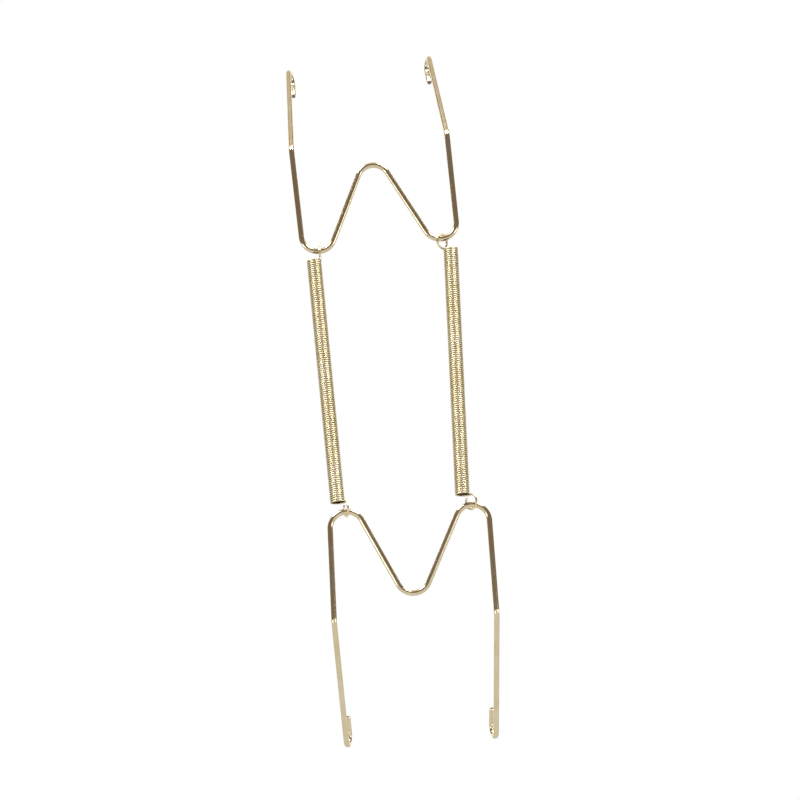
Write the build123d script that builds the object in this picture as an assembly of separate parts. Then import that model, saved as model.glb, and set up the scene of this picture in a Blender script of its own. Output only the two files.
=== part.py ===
from build123d import *
import math
import os

# Plate hanger: an upper and a lower bent wire, drawn together by two close-wound
# extension springs. Lengths are in millimetres and angles in degrees.
# X points right and Z up as the hanger is seen from its wall side, and Y points away
# from the wall. The origin is the nail seat, the underside of the upper wire's apex.

# Bent wire, the same for both halves
wire_diameter = 2.0
eye_spacing = 43.7
eye_bend_radius = 5.9
apex_bend_radius = 5.8
leg_angle = 26.0
arm_angle = 0.6
kink_height = 38.6
kink_bend_radius = 5.0
slope_angle = 35.5
slope_lean = 2.0
slope_length = 47.0
hook_bend_radius = 3.0
hook_twist = 11.0
hook_tip_length = 6.0
tip_chamfer = 0.3

# Extension springs
spring_wire_diameter = 0.75
coil_diameter = 4.55
turn_pitch = 0.76
loop_diameter = 5.2
loop_offset = 3.0
loop_sweep = 305.0
end_turn_sweep = 250.0

# Where each loop stands round its coil, turned from +X as seen from its own end
left_top_loop_angle = 40.0
left_bottom_loop_angle = 25.0
right_top_loop_angle = 179.0
right_bottom_loop_angle = -1.0

# How the halves hang: their distance and the lower one's slight turn and shift
eye_distance = 95.5
lower_turn = 2.8
lower_shift = -0.3
loop_clearance = 0.25

# Round sections are drawn with flat sides, whose corners stand proud by up to this
corner_height = 0.02


def unit_up(angle):
    """Direction in the XZ plane that leans from +Z towards +X by an angle."""
    lean = math.radians(angle)
    return Vector(math.sin(lean), 0, math.cos(lean))


def mirrored(point):
    """The same point on the other side of the wire's middle plane."""
    return Vector(-point.X, point.Y, point.Z)


def wire_section(diameter):
    """Round wire's section, an even number of flats that touch its circle."""
    radius = diameter / 2
    half_side_angle = math.acos(radius / (radius + corner_height))
    sides = 2 * math.ceil(math.pi / half_side_angle / 2)
    return RegularPolygon(radius, sides, major_radius=False)


def wire_along(path, diameter):
    """Wire of one diameter along a path of tangent lines and arcs."""
    start = Plane(origin=path @ 0, z_dir=path % 0)
    return sweep(start * wire_section(diameter), path=path)


# Corners of the bent wire before rounding, with the eye bends' lowest points at Z 0
half_opening = (leg_angle + arm_angle) / 2
corner_depth = eye_bend_radius / math.sin(math.radians(half_opening))
eye_centre = Vector(eye_spacing / 2, 0, eye_bend_radius)
eye_corner = eye_centre - unit_up((arm_angle - leg_angle) / 2) * corner_depth
apex_corner = Vector(0, 0, eye_corner.Z + eye_corner.X / math.tan(math.radians(leg_angle)))
apex_top = apex_corner.Z - apex_bend_radius / math.sin(math.radians(leg_angle)) + apex_bend_radius
arm_length = (kink_height - eye_corner.Z) / math.cos(math.radians(arm_angle))
kink = eye_corner + unit_up(arm_angle) * arm_length

# The sloping run leaves the kink away from the wall and leans slightly inwards
slope = math.radians(slope_angle)
inward = math.radians(slope_lean)
twist = math.radians(hook_twist)
run = Vector(
    -math.sin(inward),
    math.cos(inward) * math.sin(slope),
    math.cos(inward) * math.cos(slope),
)
outward = Vector(0, math.cos(slope), -math.sin(slope))
sideways = outward.cross(run)
across = outward * math.cos(twist) - sideways * math.sin(twist)
slope_end = kink + run * slope_length
hook_crown = slope_end + (across + run) * hook_bend_radius
hook_end = slope_end + across * 2 * hook_bend_radius
hook_tip = hook_end - run * (hook_tip_length - tip_chamfer)


def bent_wire():
    """One half of the hanger: two hooks, two kinked arms, two eyes and the apex."""
    right_side = [eye_corner, kink, slope_end]
    left_side = [mirrored(point) for point in reversed(right_side)]
    middle = FilletPolyline(
        *left_side,
        apex_corner,
        *right_side,
        radius=[
            kink_bend_radius,
            eye_bend_radius,
            apex_bend_radius,
            eye_bend_radius,
            kink_bend_radius,
        ],
    )
    right_hook = ThreePointArc(slope_end, hook_crown, hook_end)
    left_hook = ThreePointArc(mirrored(hook_end), mirrored(hook_crown), mirrored(slope_end))
    path = Wire(
        [
            Line(mirrored(hook_tip), mirrored(hook_end)),
            left_hook,
            *middle.edges(),
            right_hook,
            Line(hook_end, hook_tip),
        ]
    )
    bar = wire_along(path, wire_diameter)
    cut_ends = [bar.faces().sort_by_distance(end)[0] for end in (path @ 0, path @ 1)]
    for cut_end in cut_ends:
        bar += extrude(cut_end, amount=tip_chamfer, taper=45)
    return bar


def spring_end(loop_angle):
    """Last turn of a coil, rising into its loop, above the coil's end at Z 0."""
    coil_radius = coil_diameter / 2
    loop_radius = loop_diameter / 2
    leave = math.acos(coil_radius / loop_offset)
    heading = Vector(math.sin(leave), math.cos(leave), 0)
    foot = Vector(loop_offset, 0, 0)

    def on_turn(angle):
        return Vector(coil_radius * math.cos(angle), coil_radius * math.sin(angle), 0)

    def on_loop(angle):
        forward = heading * loop_radius * math.sin(angle)
        upward = Vector(0, 0, loop_radius * (1 - math.cos(angle)))
        return foot + forward + upward

    turn = math.radians(end_turn_sweep)
    last = math.radians(loop_sweep)
    path = Wire(
        [
            ThreePointArc(on_turn(-leave - turn), on_turn(-leave - turn / 2), on_turn(-leave)),
            Line(on_turn(-leave), foot),
            ThreePointArc(foot, on_loop(last / 2), on_loop(last)),
        ]
    )
    return wire_along(path, spring_wire_diameter).rotate(Axis.Z, loop_angle)


def midway(start, end):
    """Plane halfway between two points, facing from one to the other."""
    reach = end - start
    return Plane(origin=(start + end) / 2, x_dir=Vector(0, 1, 0).cross(reach), z_dir=reach)


def extension_spring(top, bottom, top_loop_angle, bottom_loop_angle):
    """Spring between two loop centres.

    The close-wound coil is a tube that holds the same metal as its turns.
    """
    top_side = Vector(loop_offset, 0, 0).rotate(Axis.Z, top_loop_angle)
    bottom_side = Vector(loop_offset, 0, 0).rotate(Axis.Z, -bottom_loop_angle)
    sidestep = (top_side - bottom_side).length
    between_loops = math.sqrt((top - bottom).length ** 2 - sidestep**2)
    coil_length = between_loops - loop_diameter
    wall = math.pi * spring_wire_diameter**2 / 4 / turn_pitch
    outside = Cylinder((coil_diameter + wall) / 2, coil_length)
    inside = Cylinder((coil_diameter - wall) / 2, coil_length)
    top_end = Pos(0, 0, coil_length / 2) * spring_end(top_loop_angle)
    bottom_end = Pos(0, 0, -coil_length / 2) * spring_end(bottom_loop_angle).rotate(Axis.X, 180)
    spring = outside - inside + top_end + bottom_end
    up_to_loop = Vector(0, 0, between_loops / 2)
    drawn = midway(bottom_side - up_to_loop, top_side + up_to_loop)
    hung = midway(bottom, top)
    return hung.location * drawn.location.inverse() * spring


# Upper wire with its apex on the nail seat, and the lower wire turned end for end
eye_level = wire_diameter / 2 - apex_top
upper_place = Pos(0, 0, eye_level)
lower_place = Pos(lower_shift, 0, eye_level - eye_distance) * Rot(0, 180 + lower_turn, 0)
upper_wire = upper_place * bent_wire()
lower_wire = lower_place * bent_wire()

# A loop hangs on the inside of an eye bend, so its centre is past the wire's centre
loop_drop = loop_diameter / 2 - spring_wire_diameter / 2 - wire_diameter / 2 - loop_clearance


def loop_centre(place, side):
    """Centre of the loop that hangs in an eye, on the left (-1) or right (1)."""
    return (place * Pos(side * eye_spacing / 2, 0, -loop_drop)).position


left_spring = extension_spring(
    loop_centre(upper_place, -1),
    loop_centre(lower_place, 1),
    left_top_loop_angle,
    left_bottom_loop_angle,
)
right_spring = extension_spring(
    loop_centre(upper_place, 1),
    loop_centre(lower_place, -1),
    right_top_loop_angle,
    right_bottom_loop_angle,
)

os.makedirs("parts", exist_ok=True)
nodes = {
    "upper_wire": upper_wire,
    "lower_wire": lower_wire,
    "left_spring": left_spring,
    "right_spring": right_spring,
}
for name, solid in nodes.items():
    export_step(solid, f"parts/{name}.step")
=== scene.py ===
import math

import bmesh
import bpy
from mathutils import Matrix, Vector


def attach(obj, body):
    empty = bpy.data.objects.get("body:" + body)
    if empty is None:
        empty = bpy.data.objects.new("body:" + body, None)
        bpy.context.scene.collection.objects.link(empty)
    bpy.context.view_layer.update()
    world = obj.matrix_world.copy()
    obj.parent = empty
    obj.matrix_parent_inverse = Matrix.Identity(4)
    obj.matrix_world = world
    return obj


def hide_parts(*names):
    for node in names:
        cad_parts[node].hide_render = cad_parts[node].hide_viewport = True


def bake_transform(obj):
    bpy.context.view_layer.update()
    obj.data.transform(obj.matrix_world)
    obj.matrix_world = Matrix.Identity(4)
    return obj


# Looks of the plate hanger: two bent wires and two close-wound springs, all brass plated.
# Sizes are in millimetres and degrees as in the part, and MM turns them into metres.
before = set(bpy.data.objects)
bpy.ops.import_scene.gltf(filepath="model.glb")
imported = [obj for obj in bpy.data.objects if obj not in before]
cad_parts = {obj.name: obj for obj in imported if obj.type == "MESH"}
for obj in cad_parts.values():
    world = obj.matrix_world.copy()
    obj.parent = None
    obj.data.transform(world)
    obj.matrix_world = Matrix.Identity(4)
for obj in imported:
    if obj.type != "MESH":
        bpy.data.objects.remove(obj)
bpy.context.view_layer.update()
MM = 0.001

# Bent wire, the same for both halves
WIRE_DIAMETER = 2.0
EYE_SPACING = 43.7
EYE_BEND_RADIUS = 5.9
APEX_BEND_RADIUS = 5.8
LEG_ANGLE = 26.0
ARM_ANGLE = 0.6
KINK_HEIGHT = 38.6
KINK_BEND_RADIUS = 5.0
SLOPE_ANGLE = 35.5
SLOPE_LEAN = 2.0
SLOPE_LENGTH = 47.0
HOOK_BEND_RADIUS = 3.0
HOOK_TWIST = 11.0
HOOK_TIP_LENGTH = 6.0
TIP_CHAMFER = 0.3

# Extension springs
SPRING_WIRE_DIAMETER = 0.75
COIL_DIAMETER = 4.55
TURN_PITCH = 0.76
LOOP_DIAMETER = 5.2
LOOP_OFFSET = 3.0
LOOP_SWEEP = 305.0

# Where each loop stands round its coil, turned from +X as seen from its own end
LEFT_TOP_LOOP_ANGLE = 40.0
LEFT_BOTTOM_LOOP_ANGLE = 25.0
RIGHT_TOP_LOOP_ANGLE = 179.0
RIGHT_BOTTOM_LOOP_ANGLE = -1.0

# How the halves hang
EYE_DISTANCE = 95.5
LOWER_TURN = 2.8
LOWER_SHIFT = -0.3
LOOP_CLEARANCE = 0.25

# How finely round things are drawn
WIRE_SIDES = 32
SPRING_WIRE_SIDES = 14
STEPS_PER_TURN = 28
BEND_STEP = 6.0
CHAMFER_SEGMENTS = 3
CHAMFER_ANGLE = 60.0
SMOOTH_ANGLE = 40.0

# Runs shorter than this are left out, and points closer than this are merged
SHORTEST_RUN = 0.01
MERGE_DISTANCE = 0.001

# Sizes in the finishes
CLOUD_SIZE = 9.0
SPECK_SIZE = 0.9
SHEAR_GRAIN = 0.15

# Drawing lines. Real ones are about a tenth of this pitch, too fine to show
LINE_PITCH = 0.25
LINE_STRETCH = 40.0
LINE_STRENGTH = 0.5

# Values of a noise at which one shade passes into the next
CLOUD_STOPS = (0.36, 0.62)
SPECK_STOPS = (0.66, 0.80)
SHEAR_STOPS = (0.3, 0.7)

# How far the tarnish specks cover the plating, and the roughness they add over a range
SPECK_COVER = 0.35
SPECK_ROUGHNESS = 0.1
SPECK_RANGE = (0.3, 0.8)

# Painted shade between a coil's turns, laid on by how deep each point is below their crowns
GROOVE = "groove"
GROOVE_PAINTED_SHADE = "#5A4526"
GROOVE_RANGE = (0.2, 0.6)
GROOVE_SHADE_COVER = 0.9


def linear(hex_colour):
    """Linear colour, with alpha, of an sRGB hex value."""
    channels = [int(hex_colour[i:i + 2], 16) / 255 for i in (1, 3, 5)]
    return [c / 12.92 if c <= 0.04045 else ((c + 0.055) / 1.055) ** 2.4 for c in channels] + [1.0]


def add_node(tree, kind, settings=None, links=None, stops=()):
    """Adds a node with its properties or input values, the outputs that feed it and ramp stops."""
    node = tree.nodes.new(kind)
    for name, value in (settings or {}).items():
        if hasattr(node, name):
            setattr(node, name, value)
        else:
            node.inputs[name].default_value = value
    for name, source in (links or {}).items():
        tree.links.new(source, node.inputs[name])
    for number, (place, colour) in enumerate(stops):
        elements = node.color_ramp.elements
        element = elements[number] if number < len(elements) else elements.new(place)
        element.position = place
        element.color = colour
    return node


def grey(value):
    """Grey with alpha, for masks."""
    return [value, value, value, 1.0]


def plated_metal(name, bright, deep, tarnish, roughness, line_depth=0.0, groove=False):
    """Brass electroplated on drawn steel wire: bright, with slightly uneven colour and a
    few dull tarnish specks. A line depth in millimetres adds faint drawing lines along Z,
    as the wire mostly lies, and groove adds painted shade between a coil's turns, darkest where
    they touch.
    """
    material = bpy.data.materials.new(name)
    material.use_nodes = True
    tree = material.node_tree
    shader = tree.nodes["Principled BSDF"]
    shader.inputs["Metallic"].default_value = 1.0
    place = add_node(tree, "ShaderNodeTexCoord").outputs["Object"]
    cloud = add_node(
        tree,
        "ShaderNodeTexNoise",
        {"Scale": 1 / (CLOUD_SIZE * MM), "Detail": 3.0, "Roughness": 0.6},
        {"Vector": place},
    )
    plating = add_node(
        tree,
        "ShaderNodeValToRGB",
        links={"Fac": cloud.outputs["Fac"]},
        stops=tuple(zip(CLOUD_STOPS, (linear(deep), linear(bright)))),
    )
    specks = add_node(
        tree,
        "ShaderNodeTexNoise",
        {"Scale": 1 / (SPECK_SIZE * MM), "Detail": 4.0, "Roughness": 0.7},
        {"Vector": place},
    )
    speck_mask = add_node(
        tree,
        "ShaderNodeValToRGB",
        links={"Fac": specks.outputs["Fac"]},
        stops=tuple(zip(SPECK_STOPS, (grey(0.0), grey(SPECK_COVER)))),
    )
    colour = add_node(
        tree,
        "ShaderNodeMixRGB",
        {"Color2": linear(tarnish)},
        {"Fac": speck_mask.outputs["Color"], "Color1": plating.outputs["Color"]},
    )
    if groove:
        # Painted shade in the hollows between the coil's turns, darkest where they touch
        between_turns = add_node(tree, "ShaderNodeAttribute", {"attribute_name": GROOVE})
        groove_shade_mask = add_node(
            tree,
            "ShaderNodeMapRange",
            {
                "From Min": GROOVE_RANGE[0],
                "From Max": GROOVE_RANGE[1],
                "To Min": 0.0,
                "To Max": GROOVE_SHADE_COVER,
            },
            {"Value": between_turns.outputs["Fac"]},
        )
        colour = add_node(
            tree,
            "ShaderNodeMixRGB",
            {"Color2": linear(GROOVE_PAINTED_SHADE)},
            {"Fac": groove_shade_mask.outputs["Result"], "Color1": colour.outputs["Color"]},
        )
    tree.links.new(colour.outputs["Color"], shader.inputs["Base Color"])
    shine = add_node(
        tree,
        "ShaderNodeMapRange",
        {
            "From Min": SPECK_RANGE[0],
            "From Max": SPECK_RANGE[1],
            "To Min": roughness,
            "To Max": roughness + SPECK_ROUGHNESS,
        },
        {"Value": specks.outputs["Fac"]},
    )
    tree.links.new(shine.outputs["Result"], shader.inputs["Roughness"])
    if not line_depth:
        return material
    drawn_out = add_node(
        tree,
        "ShaderNodeMapping",
        {"Scale": (1.0, 1.0, 1 / LINE_STRETCH)},
        {"Vector": place},
    )
    lines = add_node(
        tree,
        "ShaderNodeTexNoise",
        {"Scale": 1 / (LINE_PITCH * MM), "Detail": 2.0, "Roughness": 0.5},
        {"Vector": drawn_out.outputs["Vector"]},
    )
    relief = add_node(
        tree,
        "ShaderNodeBump",
        {"Strength": LINE_STRENGTH, "Distance": line_depth * MM},
        {"Height": lines.outputs["Fac"]},
    )
    tree.links.new(relief.outputs["Normal"], shader.inputs["Normal"])
    return material


def cut_steel():
    """Sheared steel of the wire's cut ends, unplated: matt grey with a shear grain."""
    material = bpy.data.materials.new("sheared_steel")
    material.use_nodes = True
    tree = material.node_tree
    shader = tree.nodes["Principled BSDF"]
    shader.inputs["Metallic"].default_value = 1.0
    shader.inputs["Roughness"].default_value = 0.5
    place = add_node(tree, "ShaderNodeTexCoord").outputs["Object"]
    grain = add_node(
        tree,
        "ShaderNodeTexNoise",
        {"Scale": 1 / (SHEAR_GRAIN * MM), "Detail": 3.0},
        {"Vector": place},
    )
    shades = add_node(
        tree,
        "ShaderNodeValToRGB",
        links={"Fac": grain.outputs["Fac"]},
        stops=tuple(zip(SHEAR_STOPS, (linear("#6F6A62"), linear("#A39C90")))),
    )
    tree.links.new(shades.outputs["Color"], shader.inputs["Base Color"])
    return material


def seen_rays(tree):
    """Output that is 1 where a ray comes from the camera, a reflection or through glass."""
    rays = add_node(tree, "ShaderNodeLightPath").outputs
    seen = rays["Is Camera Ray"]
    for ray in (rays["Is Glossy Ray"], rays["Is Transmission Ray"]):
        seen = add_node(tree, "ShaderNodeMath", {"operation": "MAXIMUM"}, {0: seen, 1: ray})
        seen = seen.outputs["Value"]
    return seen


def start_wire(name, place, heading, diameter, sides):
    """New object in edit mode: the wire's open round section, ready to be extruded."""
    bpy.ops.object.select_all(action="DESELECT")
    bpy.ops.mesh.primitive_circle_add(
        vertices=sides,
        radius=diameter / 2 * MM,
        location=place * MM,
        rotation=heading.to_track_quat("Z", "Y").to_euler(),
    )
    wire = bpy.context.object
    wire.name = name
    bpy.ops.object.transform_apply(location=True, rotation=True, scale=True)
    bpy.ops.object.mode_set(mode="EDIT")
    bpy.ops.mesh.select_mode(type="VERT")
    bpy.ops.mesh.select_all(action="SELECT")
    return wire


def run_straight(step):
    """Extrudes the selected section along a straight run."""
    bpy.ops.mesh.extrude_region_move(TRANSFORM_OT_translate={"value": step * MM})


def bend_round(centre, axis, angle):
    """Spins the selected section round an axis, by an angle in radians.

    The spin tool turns clockwise round its axis, so it is given the opposite one.
    """
    bpy.ops.mesh.spin(
        steps=max(2, math.ceil(math.degrees(angle) / BEND_STEP)),
        angle=angle,
        center=centre * MM,
        axis=-axis,
    )


def close_ends(tip_chamfer):
    """Caps the open ends, gives their rims a small chamfer and leaves edit mode."""
    bpy.ops.mesh.select_all(action="SELECT")
    bpy.ops.mesh.remove_doubles(threshold=MERGE_DISTANCE * MM)
    bpy.ops.mesh.select_all(action="DESELECT")
    bpy.ops.mesh.select_non_manifold(extend=False)
    bpy.ops.mesh.fill_holes(sides=0)
    bpy.ops.mesh.select_all(action="SELECT")
    bpy.ops.mesh.normals_make_consistent(inside=False)
    bpy.ops.object.mode_set(mode="OBJECT")
    if tip_chamfer:
        bpy.ops.object.modifier_add(type="BEVEL")
        chamfer = bpy.context.object.modifiers[-1]
        chamfer.width = tip_chamfer * MM
        chamfer.segments = CHAMFER_SEGMENTS
        chamfer.limit_method = "ANGLE"
        chamfer.angle_limit = math.radians(CHAMFER_ANGLE)
        bpy.ops.object.modifier_apply(modifier=chamfer.name)
    bpy.ops.object.shade_smooth_by_angle(angle=math.radians(SMOOTH_ANGLE))


def bent_wire(name, place):
    """One half of the hanger: drawn from one hook's tip to the other's, corner by corner."""
    right_side = [eye_corner, kink, hook_start, hook_turn, hook_tip]
    left_side = [Vector((-p.x, p.y, p.z)) for p in reversed(right_side)]
    corners = [place @ p for p in [*left_side, apex_corner, *right_side]]
    side_radii = [HOOK_BEND_RADIUS, HOOK_BEND_RADIUS, KINK_BEND_RADIUS, EYE_BEND_RADIUS]
    radii = [*side_radii, APEX_BEND_RADIUS, *reversed(side_radii)]
    here = corners[0]
    heading = (corners[1] - here).normalized()
    wire = start_wire(name, here, heading, WIRE_DIAMETER, WIRE_SIDES)
    for corner, after, radius in zip(corners[1:], corners[2:], radii):
        heading = (corner - here).normalized()
        leaving = (after - corner).normalized()
        turn = heading.angle(leaving)
        setback = radius * math.tan(turn / 2)
        bend_start = corner - heading * setback
        if (bend_start - here).length > SHORTEST_RUN:
            run_straight(bend_start - here)
        axis = heading.cross(leaving).normalized()
        bend_round(bend_start + axis.cross(heading) * radius, axis, turn)
        here = corner + leaving * setback
    run_straight(corners[-1] - here)
    close_ends(TIP_CHAMFER)
    return wire


def loop_centre(place, side):
    """Where the loop in an eye has its centre, on the left (-1) or right (1)."""
    drop = (LOOP_DIAMETER - SPRING_WIRE_DIAMETER - WIRE_DIAMETER) / 2 - LOOP_CLEARANCE
    return place @ Vector((side * EYE_SPACING / 2, 0, -drop))


def select_end(upward):
    """Selects the open section at the coil's upper or lower end."""
    bpy.ops.mesh.select_all(action="DESELECT")
    mesh = bmesh.from_edit_mesh(bpy.context.object.data)
    for vertex in mesh.verts:
        vertex.select = vertex.is_boundary and (vertex.co.z > 0) == upward
    mesh.select_flush_mode()
    bmesh.update_edit_mesh(bpy.context.object.data)


def midway(start, end):
    """Frame halfway between two points, facing from one to the other."""
    facing = (end - start).normalized()
    side = Vector((0, 1, 0)).cross(facing).normalized()
    turned = Matrix((side, facing.cross(side), facing)).transposed().to_4x4()
    return Matrix.Translation((start + end) / 2 * MM) @ turned


def mark_grooves(coil, coil_length):
    """Attribute that is 0 on the turns' crowns and on the loops, and 1 where turns touch."""
    crown = SPRING_WIRE_DIAMETER / 2
    depth = coil.data.attributes.new(GROOVE, "FLOAT", "POINT")
    for vertex, mark in zip(coil.data.vertices, depth.data):
        from_axis = math.hypot(vertex.co.x, vertex.co.y) / MM
        if abs(vertex.co.z) / MM < coil_length / 2:
            mark.value = min(1.0, max(0.0, 1 - (from_axis - COIL_DIAMETER / 2) / crown))


def round_z(angle):
    """Direction square to Z, turned from +X by an angle in radians."""
    return Vector((math.cos(angle), math.sin(angle), 0))


def wind_coil(name, first, sweep, coil_length):
    """Coil wound by the Screw modifier from its lower end, left open and in edit mode."""
    coil_radius = COIL_DIAMETER / 2
    rise = math.atan2(coil_length, sweep * coil_radius)
    start = Vector((coil_radius * math.cos(first), coil_radius * math.sin(first), -coil_length / 2))
    heading = Vector(
        (-math.sin(first) * math.cos(rise), math.cos(first) * math.cos(rise), math.sin(rise))
    )
    coil = start_wire(name, start, heading, SPRING_WIRE_DIAMETER, SPRING_WIRE_SIDES)
    bpy.ops.object.mode_set(mode="OBJECT")
    bpy.ops.object.modifier_add(type="SCREW")
    helix = coil.modifiers[-1]
    helix.axis = "Z"
    helix.angle = sweep
    helix.screw_offset = coil_length * MM
    helix.iterations = 1
    helix.steps = round(STEPS_PER_TURN * sweep / (2 * math.pi))
    helix.render_steps = helix.steps
    bpy.ops.object.modifier_apply(modifier=helix.name)
    bpy.ops.object.mode_set(mode="EDIT")
    bpy.ops.mesh.select_mode(type="VERT")
    return coil


def spring(name, top, bottom, top_loop_angle, bottom_loop_angle):
    """Extension spring between two loop centres: a coil, and a loop drawn on at each end."""
    coil_radius = COIL_DIAMETER / 2
    loop_radius = LOOP_DIAMETER / 2
    leave = math.acos(coil_radius / LOOP_OFFSET)
    top_way = math.radians(top_loop_angle)
    bottom_way = math.radians(-bottom_loop_angle)
    top_side = round_z(top_way) * LOOP_OFFSET
    bottom_side = round_z(bottom_way) * LOOP_OFFSET
    sidestep = (top_side - bottom_side).length
    between_loops = math.sqrt((top - bottom).length ** 2 - sidestep ** 2)
    coil_length = between_loops - LOOP_DIAMETER

    # Whole turns, and the part of one between where the two loops leave the coil
    first = bottom_way + leave
    last = top_way - leave
    turns = round(coil_length / TURN_PITCH)
    sweep = (last - first) % (2 * math.pi) + 2 * math.pi * turns
    coil = wind_coil(name, first, sweep, coil_length)
    for way, angle, side in ((1, last, top_side), (-1, first, bottom_side)):
        select_end(way > 0)
        end_level = Vector((0, 0, way * coil_length / 2))
        onward = side - round_z(angle) * coil_radius
        run_straight(onward)
        axis = onward.normalized().cross(Vector((0, 0, way)))
        centre = side + end_level + Vector((0, 0, way * loop_radius))
        bend_round(centre, axis, math.radians(LOOP_SWEEP))
    close_ends(0)
    mark_grooves(coil, coil_length)

    up_to_loop = Vector((0, 0, between_loops / 2))
    drawn = midway(bottom_side - up_to_loop, top_side + up_to_loop)
    coil.matrix_world = midway(bottom, top) @ drawn.inverted()
    bpy.ops.object.transform_apply(location=True, rotation=True, scale=True)
    return coil


def face_camera(location, target, roll):
    """Place and turn that look from one point to another, rolled round the line of sight."""
    look = (target - location).to_track_quat("-Z", "Y").to_matrix().to_4x4()
    return Matrix.Translation(location) @ look @ Matrix.Rotation(math.radians(roll), 4, "Z")


def soft_box(name, location, target, width, height, power):
    """Rectangular area lamp, aimed from one point to another, in millimetres."""
    bpy.ops.object.light_add(type="AREA", location=[c * MM for c in location])
    lamp = bpy.context.object
    lamp.name = name
    lamp.data.shape = "RECTANGLE"
    lamp.data.size = width * MM
    lamp.data.size_y = height * MM
    lamp.data.energy = power
    aim = (Vector(target) - Vector(location)).to_track_quat("-Z", "Y")
    lamp.rotation_euler = aim.to_euler()


# Corners of the bent wire before rounding, with the eye bends' lowest points at Z 0
leg_lean = math.radians(LEG_ANGLE)
arm_lean = math.radians(ARM_ANGLE)
eye_lean = (arm_lean - leg_lean) / 2
corner_depth = EYE_BEND_RADIUS / math.sin((leg_lean + arm_lean) / 2)
eye_corner = Vector((EYE_SPACING / 2, 0, EYE_BEND_RADIUS))
eye_corner -= Vector((math.sin(eye_lean), 0, math.cos(eye_lean))) * corner_depth
apex_corner = Vector((0, 0, eye_corner.z + eye_corner.x / math.tan(leg_lean)))
kink = eye_corner + Vector((math.tan(arm_lean), 0, 1)) * (KINK_HEIGHT - eye_corner.z)

# The sloping run leaves the kink away from the wall, and the hook turns back at its end
slope, inward, twist = (math.radians(a) for a in (SLOPE_ANGLE, SLOPE_LEAN, HOOK_TWIST))
run = Vector(
    (-math.sin(inward), math.cos(inward) * math.sin(slope), math.cos(inward) * math.cos(slope))
)
outward = Vector((0, math.cos(slope), -math.sin(slope)))
across = outward * math.cos(twist) - outward.cross(run) * math.sin(twist)
hook_start = kink + run * (SLOPE_LENGTH + HOOK_BEND_RADIUS)
hook_turn = hook_start + across * 2 * HOOK_BEND_RADIUS
hook_tip = hook_turn - run * (HOOK_BEND_RADIUS + HOOK_TIP_LENGTH)

# The pieces, placed as the part's solids are
apex_top = apex_corner.z - APEX_BEND_RADIUS / math.sin(leg_lean) + APEX_BEND_RADIUS
eye_level = WIRE_DIAMETER / 2 - apex_top
upper_place = Matrix.Translation((0, 0, eye_level))
lower_place = Matrix.Translation((LOWER_SHIFT, 0, eye_level - EYE_DISTANCE)) @ Matrix.Rotation(
    math.radians(180 + LOWER_TURN), 4, "Y"
)
loops = {
    "upper_left": loop_centre(upper_place, -1),
    "upper_right": loop_centre(upper_place, 1),
    "lower_left": loop_centre(lower_place, 1),
    "lower_right": loop_centre(lower_place, -1),
}
upper_wire = bent_wire("upper_wire_bright", upper_place)
lower_wire = bent_wire("lower_wire_bright", lower_place)
left_spring = spring(
    "left_spring_wound",
    loops["upper_left"],
    loops["lower_left"],
    LEFT_TOP_LOOP_ANGLE,
    LEFT_BOTTOM_LOOP_ANGLE,
)
right_spring = spring(
    "right_spring_wound",
    loops["upper_right"],
    loops["lower_right"],
    RIGHT_TOP_LOOP_ANGLE,
    RIGHT_BOTTOM_LOOP_ANGLE,
)

# Finishes
brass_plated_wire = plated_metal(
    "brass_plated_wire",
    bright="#F0E3C2",
    deep="#E6D4AA",
    tarnish="#B09A70",
    roughness=0.1,
    line_depth=0.002,
)
# The springs' finish carries painted shade between their turns
brass_plated_spring = plated_metal(
    "brass_plated_spring_wire",
    bright="#FAEDC9",
    deep="#F2E1B4",
    tarnish="#C4AC7C",
    roughness=0.3,
    groove=True,
)
sheared_steel = cut_steel()

# A wire's cut ends are its only faces with more than four corners
for piece, finish in (
    (upper_wire, brass_plated_wire),
    (lower_wire, brass_plated_wire),
    (left_spring, brass_plated_spring),
    (right_spring, brass_plated_spring),
):
    piece.data.materials.append(finish)
    piece.data.materials.append(sheared_steel)
    for face in piece.data.polygons:
        face.material_index = 1 if len(face.vertices) > 4 else 0

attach(upper_wire, "upper_wire")
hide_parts("upper_wire")
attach(lower_wire, "lower_wire")
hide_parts("lower_wire")
for piece, node, above, below in (
    (left_spring, "left_spring", "upper_left", "lower_left"),
    (right_spring, "right_spring", "upper_right", "lower_right"),
):
    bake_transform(piece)
    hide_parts(node)

# Plain pale floor, below the hanging part, which looks paler than the light makes it
FLOOR_LEVEL = -600.0
FLOOR_SIZE = 40000.0
FLOOR_GLOW = 0.52
FLOOR_ROUGHNESS = 0.9
bpy.ops.object.select_all(action="DESELECT")
bpy.ops.mesh.primitive_plane_add(size=FLOOR_SIZE * MM, location=(0, 0, FLOOR_LEVEL * MM))
floor = bpy.context.object
floor.name = "floor"
floor_paint = bpy.data.materials.new("matt_pale_floor")
floor_paint.use_nodes = True
floor_tree = floor_paint.node_tree
floor_shader = floor_tree.nodes["Principled BSDF"]
floor_shader.inputs["Base Color"].default_value = linear("#6B6967")
floor_shader.inputs["Roughness"].default_value = FLOOR_ROUGHNESS
floor_shader.inputs["Emission Color"].default_value = linear("#FFFFFF")
glow = add_node(
    floor_tree,
    "ShaderNodeMapRange",
    {"To Min": 0.0, "To Max": FLOOR_GLOW},
    {"Value": seen_rays(floor_tree)},
)
floor_tree.links.new(glow.outputs["Result"], floor_shader.inputs["Emission Strength"])
floor.data.materials.append(floor_paint)

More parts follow.
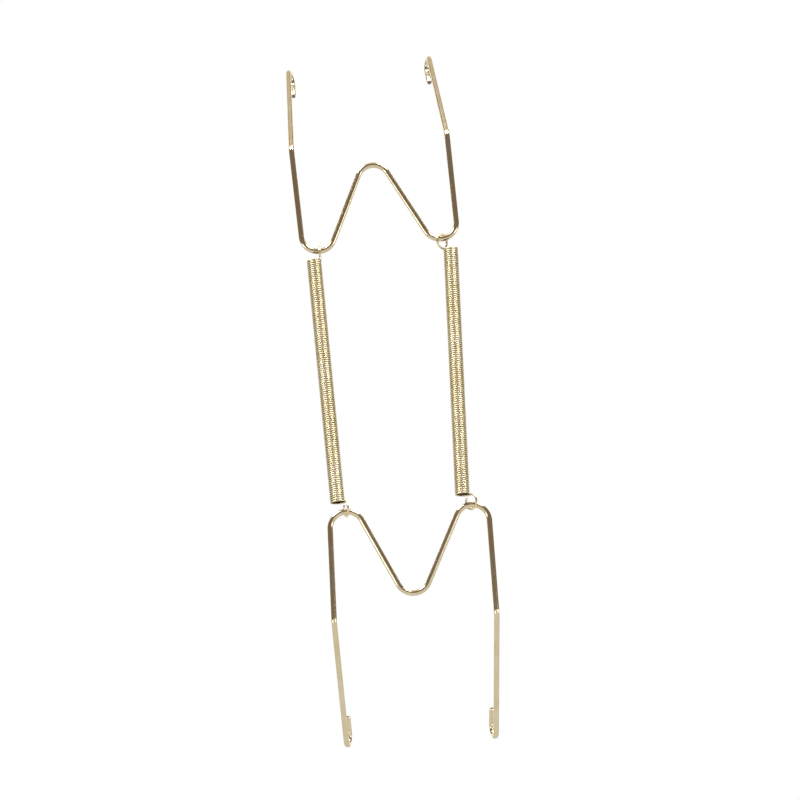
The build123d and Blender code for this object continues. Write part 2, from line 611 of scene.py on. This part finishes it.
# Studio surroundings: white to the eye and in reflections, softer as a light
SKY_LIGHT = 0.55
SKY_SEEN = 1.0
world = bpy.data.worlds.new("studio")
world.use_nodes = True
bpy.context.scene.world = world
sky = world.node_tree
surround = sky.nodes["Background"]
brightness = add_node(
    sky,
    "ShaderNodeMapRange",
    {"To Min": SKY_LIGHT, "To Max": SKY_SEEN},
    {"Value": seen_rays(sky)},
)
surround.inputs["Color"].default_value = linear("#FFFFFF")
sky.links.new(brightness.outputs["Result"], surround.inputs["Strength"])

# A curved card round the wall side, as a photographer sets up for polished metal: dim up
# to its band, and paler in the ring and the roof above. It is seen only in reflections,
# where the dim part gives the wires their dark bands and the rest their softer sides.
# It is open below and, past CARD_OPENING of its radius, on the side away from the wall
CARD_SIDES = 64
CARD_RADIUS = 1500.0
CARD_LOW = -150.0
CARD_BAND_TOP = 1250.0
CARD_HIGH = 2200.0
CARD_OPENING = 0.64

# A face is part of the card's roof or bottom where its normal's Z is past this
LEVEL_NORMAL = 0.5
bpy.ops.object.select_all(action="DESELECT")
bpy.ops.mesh.primitive_cylinder_add(
    vertices=CARD_SIDES,
    radius=CARD_RADIUS * MM,
    depth=(CARD_HIGH - CARD_LOW) * MM,
    location=(0, 0, (CARD_HIGH + CARD_LOW) / 2 * MM),
)
card = bpy.context.object
card.name = "reflector_card"
bpy.ops.object.mode_set(mode="EDIT")
bpy.ops.mesh.select_mode(type="FACE")
bpy.ops.mesh.select_all(action="SELECT")
bpy.ops.mesh.bisect(plane_co=(0, 0, CARD_BAND_TOP * MM), plane_no=(0, 0, 1))
bpy.ops.mesh.select_all(action="DESELECT")
card_mesh = bmesh.from_edit_mesh(card.data)
for face in card_mesh.faces:
    behind = face.calc_center_median().y > CARD_OPENING * CARD_RADIUS * MM
    face.select = behind or face.normal.z < -LEVEL_NORMAL
bmesh.update_edit_mesh(card.data)
bpy.ops.mesh.delete(type="FACE")
bpy.ops.object.mode_set(mode="OBJECT")
card.visible_camera = False
card.visible_diffuse = False
card.visible_shadow = False
for name, shade in (
    ("dim_grey_card", "#7C7069"),
    ("pale_grey_ring_card", "#C8C0B6"),
    ("pale_grey_roof_card", "#CFC8BF"),
):
    paper = bpy.data.materials.new(name)
    paper.use_nodes = True
    paper_shader = paper.node_tree.nodes["Principled BSDF"]
    paper_shader.inputs["Base Color"].default_value = linear("#000000")
    paper_shader.inputs["Specular IOR Level"].default_value = 0.0
    paper_shader.inputs["Emission Color"].default_value = linear(shade)
    paper_shader.inputs["Emission Strength"].default_value = 1.0
    card.data.materials.append(paper)
for face in card.data.polygons:
    above_band = face.center.z > CARD_BAND_TOP * MM
    face.material_index = 2 if face.normal.z > LEVEL_NORMAL else int(above_band)

# Two soft boxes above and two weak ones below, all aimed at the hanger's middle
HANGER_MIDDLE = (0, 0, -76)
HIGH_BOX = {"width": 560, "height": 460, "power": 12}
LOW_BOX = {"width": 300, "height": 220, "power": 0.9}
soft_box("left_high_soft_box", (-600, -350, 1060), HANGER_MIDDLE, **HIGH_BOX)
soft_box("right_high_soft_box", (600, -350, 1060), HANGER_MIDDLE, **HIGH_BOX)
soft_box("left_low_soft_box", (-850, -490, -290), HANGER_MIDDLE, **LOW_BOX)
soft_box("right_low_soft_box", (850, -490, -290), HANGER_MIDDLE, **LOW_BOX)

# Camera at the photograph's viewing angle, on the wall side, a little below and rolled
CAMERA_PLACE = Vector((-23.46, -873.86, -273.23))
CAMERA_TARGET = Vector((1.6, 30.0, -79.24))
CAMERA_ROLL = -6.322
CAMERA_LENS = 114.5
CAMERA_SENSOR = 36.0
CAMERA_NEAREST = 10.0
CAMERA_FARTHEST = 50000.0
bpy.ops.object.camera_add()
camera = bpy.context.object
camera.name = "camera"
camera.data.lens = CAMERA_LENS
camera.data.sensor_width = CAMERA_SENSOR
camera.data.clip_start = CAMERA_NEAREST * MM
camera.data.clip_end = CAMERA_FARTHEST * MM
camera.matrix_world = face_camera(CAMERA_PLACE * MM, CAMERA_TARGET * MM, CAMERA_ROLL)
bpy.context.scene.camera = camera
bpy.context.scene.view_settings.view_transform = "Standard"
